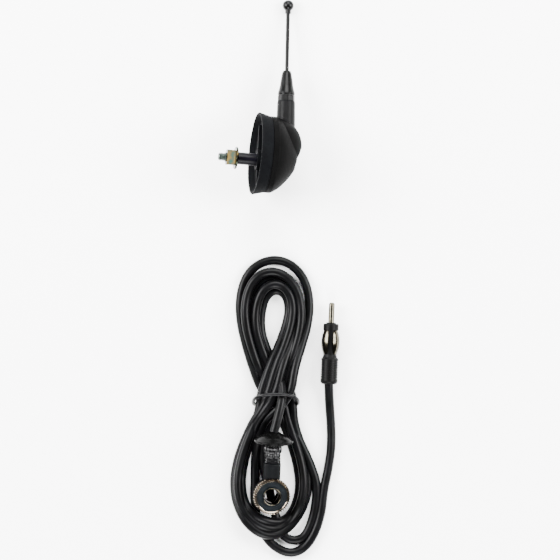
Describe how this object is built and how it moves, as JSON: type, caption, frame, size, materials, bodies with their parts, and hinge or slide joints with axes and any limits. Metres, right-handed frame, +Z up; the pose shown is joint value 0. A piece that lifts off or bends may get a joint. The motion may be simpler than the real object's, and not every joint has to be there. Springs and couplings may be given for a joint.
{
  "type": "car roof aerial with coaxial lead",
  "caption": "Passive car roof aerial: a tilting, screw-in rod mast on a round base with a roof stud, and its tied hank of coaxial lead with earthing terminal and radio plug.",
  "frame": {"origin": "on the table under the middle of the aerial head's own box, the lead left out", "axes": "+Z up from the table, +Y along the table from the aerial's base towards the mast's tip, +X to the right of it, the side the dome faces"},
  "size_m": [0.0654, 0.3014, 0.0436],
  "materials": {
    "pad_rubber": "matt",
    "plate_steel": "plated",
    "dome_abs": "fine grained",
    "screw_steel": "bright",
    "spring_bronze": "bright",
    "stud_zinc": "zinc plated thread",
    "sleeve_nylon": "smooth",
    "arm_nylon": "moulded satin",
    "brass": "turned",
    "seal_rubber": "matt",
    "mast_coating": "black coated, satin",
    "tip_nylon": "moulded gloss",
    "washer_zinc": "yellow zinc passivated",
    "nut_zinc": "yellow zinc passivated",
    "ring_zinc": "bright nickel plated",
    "insulator_nylon": "blue grey moulded",
    "contact_nickel": "nickel plated",
    "connector_pvc": "moulded",
    "grommet_rubber": "smooth rubber",
    "cable_pvc": "satin PVC sheath",
    "tie_pvc": "PVC coated wire",
    "plug_black": "moulded",
    "spring_nickel": "nickel plated",
    "insulator_black": "moulded"
  },
  "bodies": {
    "base": {"mounting_pad": "pad_rubber", "base_plate": "plate_steel", "dome_housing": "dome_abs", "housing_screws": "screw_steel", "pivot_pin": "screw_steel", "friction_washer_right": "spring_bronze", "friction_washer_left": "spring_bronze", "contact_spring": "spring_bronze", "mounting_stud": "stud_zinc", "stud_sleeve": "sleeve_nylon"},
    "arm": {"swivel_arm": "arm_nylon", "arm_contact": "brass", "thread_insert": "brass"},
    "seal": {"mast_seal": "seal_rubber"},
    "mast": {"mast_ferrule": "mast_coating", "mast_thread": "screw_steel", "mast_rod": "mast_coating", "mast_tip": "tip_nylon"},
    "washer": {"stud_washer": "washer_zinc"},
    "nut": {"stud_nut": "nut_zinc"},
    "lead": {"terminal_ring": "ring_zinc", "terminal_insulator": "insulator_nylon", "terminal_contact": "contact_nickel", "connector_body": "connector_pvc", "strain_relief": "connector_pvc", "grommet": "grommet_rubber", "cable_lead_in": "cable_pvc", "cable_hank": "cable_pvc", "hank_tie": "tie_pvc", "cable_tail": "cable_pvc", "plug_grip": "plug_black", "plug_body": "plug_black", "plug_springs": "spring_nickel", "plug_nose": "plug_black", "plug_insulator": "insulator_black", "plug_pin": "contact_nickel"}
  },
  "joints": [
    {"name": "mast_tilt", "type": "hinge", "parent": "base", "child": "arm", "pos_m": [0.00756, -0.02633, 0.01914], "axis": [-0.1823, -0.1866, -0.9654], "range_deg": [0, 91.8]},
    {"name": "mast_rise", "type": "slide", "parent": "arm", "child": "seal", "axis": [0.0206, 0.9809, -0.1935], "range_m": [0, 0.0072]},
    {"name": "mast_screw", "type": "hinge", "parent": "seal", "child": "mast", "pos_m": [0.01413, -0.00264, 0.01332], "axis": [0.0206, 0.9809, -0.1935], "range_deg": [0, 3241]},
    {"name": "washer_travel", "type": "slide", "parent": "base", "child": "washer", "axis": [-0.9819, 0.0859, 0.1688], "range_m": [0, 0.0088]},
    {"name": "nut_turn", "type": "hinge", "parent": "washer", "child": "nut", "pos_m": [-0.01341, -0.03305, 0.0244], "axis": [-0.9819, 0.0859, 0.1688], "range_deg": [0, 3961]},
    {"name": "lead_lift", "type": "slide", "parent": "base", "child": "lead", "axis": [0, 0, 1], "range_m": [0, 0.12]}
  ],
  "couplings": [
    {"joint": "mast_screw", "follows": "mast_rise", "rad_per_m": 7854},
    {"joint": "nut_turn", "follows": "washer_travel", "rad_per_m": 7854}
  ]
}
